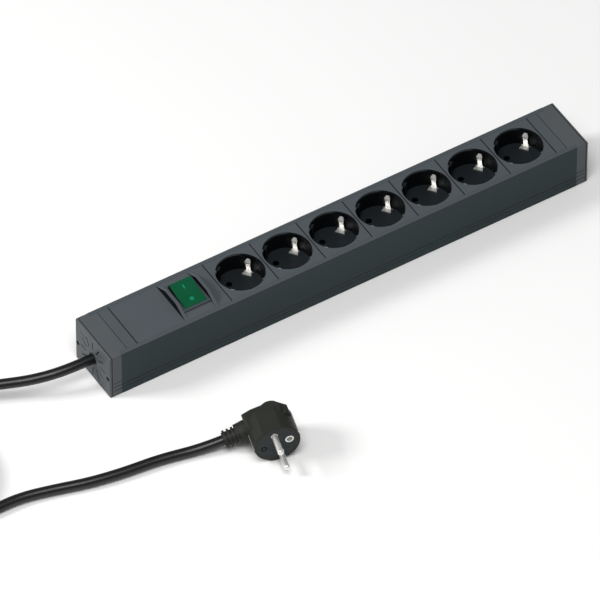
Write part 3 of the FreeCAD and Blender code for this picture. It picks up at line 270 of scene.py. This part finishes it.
def painted_aluminium():
    """Satin powder coat: fine grit, slight patches of tone, and up-facing faces painted lighter than the sides,
    a painted highlight of the top light.
    """
    made, tree, shader, place = material("painted_aluminium", "1f2a2b", 0.42)
    grain(tree, shader, place, 1.2 * MM, 0.03 * MM, (0.36, 0.5))
    mottle(tree, shader, place, 60 * MM, "18282b", "1d2e31")
    # painted highlight: faces that look up are painted a lighter grey
    tint(tree, shader, facing(tree, "Z", 0.5, 0.95), "474d51")
    return made


finish_in(painted_aluminium(), "channel")


# ---- End caps: moulded grey plastic, lighter than the face ----

def moulded_abs(name, dark, light, joints=None):
    """Grained ABS: spark-eroded grain, satin, a very slight mottle, and, if a colour is given, X-facing faces
    painted dark, a painted shade in the joints and on walls that face along the strip.
    """
    made, tree, shader, place = material(name, light, 0.5)
    grain(tree, shader, place, 0.9 * MM, 0.03 * MM, (0.45, 0.6))
    mottle(tree, shader, place, 25 * MM, dark, light)
    if joints:
        # painted shade: faces turned along X are darkened, in the joints and on side walls
        tint(tree, shader, facing(tree, "X", 0.4, 0.6), joints)
    return made


SKIN = 0.5 * MM             # painted shade starts this far under a cap's surface


def inside(tree, place, centre, half):
    """A mask that is 1 in a box, given by its centre and its half sizes in metres."""
    parts = add(tree, "ShaderNodeSeparateXYZ", None, {"Vector": place})
    within = [add(tree, "ShaderNodeMath", {"operation": "COMPARE", 1: middle, 2: reach},
                  {0: parts.outputs[axis]}).outputs[0]
              for axis, middle, reach in zip("XYZ", centre, half)]
    pair = add(tree, "ShaderNodeMath", {"operation": "MULTIPLY"}, {0: within[0], 1: within[1]})
    return add(tree, "ShaderNodeMath", {"operation": "MULTIPLY"}, {0: pair.outputs[0], 1: within[2]}).outputs[0]


def cap_abs():
    """The caps' ABS, with painted shade in its grooves and holes, which is all that lies under its skin."""
    made = moulded_abs("grained_abs_cap", "4a4e51", "505457")
    tree = made.node_tree
    place = add(tree, "ShaderNodeTexCoord").outputs["Object"]
    corners = np.array([tuple(corner) for corner in nodes["channel"].bound_box])
    low, high = corners.min(axis=0), corners.max(axis=0)
    high[0] = cad_box[1][0]
    centre = (0.0, 0.0, (low[2] + high[2]) / 2)
    half = [high[0] - SKIN, high[1] - SKIN, (high[2] - low[2]) / 2 - SKIN]
    # painted shade: everything recessed under the cap's skin is darkened
    tint(tree, tree.nodes["Principled BSDF"], inside(tree, place, centre, half), "0d1012")
    return made


finish_in(cap_abs(), "cable_end_cap", "far_end_cap")


# ---- Face plates: grained grey plastic, one for each socket, two fillers and the switch's ----
# 0b0e10 is painted shade on the plates' X-facing faces: joints and rail walls
finish_in(moulded_abs("grained_abs_face", "464c50", "4c5256", "0b0e10"),
          "filler_left", "filler_right", "switch_plate", *["socket_plate_%d" % number for number in SOCKETS])


# ---- Socket inserts: dark self-extinguishing plastic, satin in the recess ----

def dark_polyamide():
    """Moulded polyamide: near black with a cold cast, satin, and up-facing recess floors painted paler, a
    painted pool of light.
    """
    made, tree, shader, place = material("dark_polyamide", "04080a", 0.42)
    grain(tree, shader, place, 1.0 * MM, 0.02 * MM, (0.36, 0.5))
    mottle(tree, shader, place, 14 * MM, "030608", "05090b")
    # painted light: faces that look up, the recess floors, are painted paler
    tint(tree, shader, facing(tree, "Z", 0.9, 0.99), "1c2124")
    return made


finish_in(dark_polyamide(), *["socket_cup_%d" % number for number in SOCKETS])


# ---- Earth clips, pins and strips: nickel-plated brass, bright with faint rolling marks ----

def plated_nickel():
    """Nickel plate over rolled strip: bright, slightly warm, with fine lengthwise marks."""
    made, tree, shader, place = material("plated_nickel", "f0efeb", 0.34, Metallic=0.8)
    grain(tree, shader, place, 0.8 * MM, 0.01 * MM, (0.26, 0.4))
    return made


nickel = plated_nickel()
finish_in(nickel, "plug_pins", "plug_earth_strips", "plug_earth_sleeve",
          *["earth_clip_%d" % number for number in SOCKETS])


# ---- Switch: a grey bezel, a black guard under the plate's rails and a green rocker ----

def satin_black():
    """Moulded black plastic: deep, dull satin."""
    made, tree, shader, place = material("satin_black_plastic", "050607", 0.5, **{"Specular IOR Level": 0.12})
    grain(tree, shader, place, 1.0 * MM, 0.02 * MM, (0.44, 0.58))
    return made


black = satin_black()
finish_in(black, "switch_guard", "cord_bushing")
finish_in(moulded_abs("satin_grey_bezel", "3a4144", "40474a"), "switch_frame")


def green_polycarbonate():
    """Tinted polycarbonate over a lamp: smooth, deep green on top, with its X-facing cheeks painted nearly
    black, a painted shade.
    """
    made, tree, shader, place = material("green_polycarbonate", "004e2a", 0.3,
                                         **{"Coat Weight": 0.1, "Coat Roughness": 0.1})
    mottle(tree, shader, place, 9 * MM, "00482a", "005232")
    # painted shade: the rocker's X-facing cheeks are darkened nearly to black
    tint(tree, shader, facing(tree, "X", 0.5, 0.9), "06140c")
    return made


finish_in(green_polycarbonate(), "rocker")
pivot = Vector(next(joint for joint in frame["joints"] if joint["name"] == "rocker_tilt")["pos_m"])
ROCKER_TILT = math.radians(11.0)
ROCKER_DIP = 0.8 * MM       # middle of the rocker's top, below its two ends


def rocker_ends():
    """The height above the pivot, and the distance from it, of the rocker's highest edge when it is level."""
    mesh = nodes["rocker"].data
    flat = np.empty(3 * len(mesh.vertices), dtype=np.float32)
    mesh.vertices.foreach_get("co", flat)
    from_pivot = flat.reshape(-1, 3) - np.array(pivot)
    level = from_pivot @ np.array(Matrix.Rotation(ROCKER_TILT, 3, "X"))
    highest = level[level[:, 2].argmax()]
    return float(highest[2]), abs(float(highest[1]))


ROCKER_TOP, ROCKER_REACH = rocker_ends()
MARK_PLACE, MARK_HEIGHT = 6.2 * MM, 0.08 * MM


def on_rocker(made, side):
    """Lays a mark, drawn flat about its own centre, on one half of the rocker's top."""
    rise = math.atan2(ROCKER_DIP, ROCKER_REACH)
    height = ROCKER_TOP - ROCKER_DIP + ROCKER_DIP * MARK_PLACE / ROCKER_REACH
    lay = (Matrix.Translation(pivot) @ Matrix.Rotation(ROCKER_TILT, 4, "X")
           @ Matrix.Translation((0, side * MARK_PLACE, height)) @ Matrix.Rotation(side * rise, 4, "X"))
    made.data.transform(lay)
    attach(made, "rocker")


def ring_mark(name, half_width, half_length, inner):
    """A flat raised loop: an outline of stretched circles, outside to inside, with a bevelled edge."""
    angle = np.linspace(0, 2 * np.pi, 49)
    spans = [(1.0, 0.0), (0.97, 1.0), (inner + 0.03, 1.0), (inner, 0.0)]
    rows = [[(half_width * span * math.cos(a), half_length * span * math.sin(a), MARK_HEIGHT * lift)
             for a in angle] for span, lift in spans]
    return sheet_mesh(name, rows)




def pad_print():
    """Pad-printed ink: pale green, a little thinner in places."""
    made, tree, shader, place = material("pad_print_pale_green", "00845a", 0.5)
    mottle(tree, shader, place, 0.8 * MM, "007a52", "0c8e64")
    return made


print_green = pad_print()
for name, side, half_width, half_length, inner in (("mark_off", -1, 1.75 * MM, 1.75 * MM, 0.3),
                                                   ("mark_on", 1, 0.6 * MM, 2.1 * MM, 0.0)):
    mark = ring_mark(name, half_width, half_length, inner)
    mark.data.materials.append(print_green)
    on_rocker(mark, side)


# ---- Inside: brass bars, tabs and levers, a dark tray, sprung pins, a lamp and wires ----

def rolled_brass():
    """Rolled brass strip: warm metal with a soft satin."""
    made, tree, shader, place = material("rolled_brass", "b8924a", 0.3, Metallic=1.0)
    grain(tree, shader, place, 0.8 * MM, 0.01 * MM, (0.25, 0.4))
    return made


def zinc_steel():
    """Zinc-plated steel: grey, satin metal."""
    made, tree, shader, place = material("zinc_plated_steel", "8d9092", 0.35, Metallic=1.0)
    grain(tree, shader, place, 0.6 * MM, 0.01 * MM, (0.3, 0.45))
    return made


def insulation(name, dark, light):
    """Extruded wire insulation: smooth and slightly glossy."""
    made, tree, shader, place = material(name, dark, 0.35)
    mottle(tree, shader, place, 5 * MM, dark, light)
    return made


def earth_insulation():
    """Green insulation with a yellow stripe that runs along the wire."""
    made, tree, shader, place = material("green_yellow_insulation", "4f9a2a", 0.35)
    wave = add(tree, "ShaderNodeTexWave", {"Scale": 180.0, "Distortion": 0.5}, {"Vector": place})
    mix = add(tree, "ShaderNodeMix", {"data_type": "RGBA", 6: linear("2f8a2e"), 7: linear("d8c81e")},
              {0: wave.outputs["Fac"]})
    tree.links.new(mix.outputs[2], shader.inputs["Base Color"])
    return made


def lamp_glass():
    """A small neon lamp: clear glass with a faint drawn unevenness."""
    made, tree, shader, place = material("clear_lamp_glass", "e8f4ec", 0.05, **{"Transmission Weight": 1.0})
    grain(tree, shader, place, 1.5 * MM, 0.02 * MM, (0.04, 0.1))
    return made


finish_in(rolled_brass(), "live_busbar", "neutral_busbar", "earth_busbar", "live_lever", "neutral_lever",
          "switch_terminals")
finish_in(moulded_abs("dark_moulded_tray", "26282a", "2d2f31"), "contact_carrier", "cord_clamp")
finish_in(zinc_steel(), "cord_clamp_screws", "plungers", "plunger_springs")
finish_in(lamp_glass(), "switch_lamp")
finish_in(insulation("brown_insulation", "48281a", "55301e"), "live_wire_in", "live_wire_out")
finish_in(insulation("blue_insulation", "1e4c96", "2558a8"), "neutral_wire_in", "neutral_wire_out")
finish_in(earth_insulation(), "earth_wire")
finish_in(pvc, "cord_inner")


# ---- Plug: angled, moulded in soft black rubber round a hard insert ----

def moulded_rubber():
    """Moulded rubber: dark with an olive cast, a fine matt grain."""
    made, tree, shader, place = material("moulded_black_rubber", "242621", 0.5)
    grain(tree, shader, place, 1.1 * MM, 0.03 * MM, (0.42, 0.6))
    mottle(tree, shader, place, 18 * MM, "20221e", "282a25")
    return made


rubber = moulded_rubber()
finish_in(rubber, "plug_body", "plug_boot")
finish_in(moulded_abs("plug_insert_plastic", "23282a", "2a3032"), "plug_core")
finish_in(black, "cord_tie")
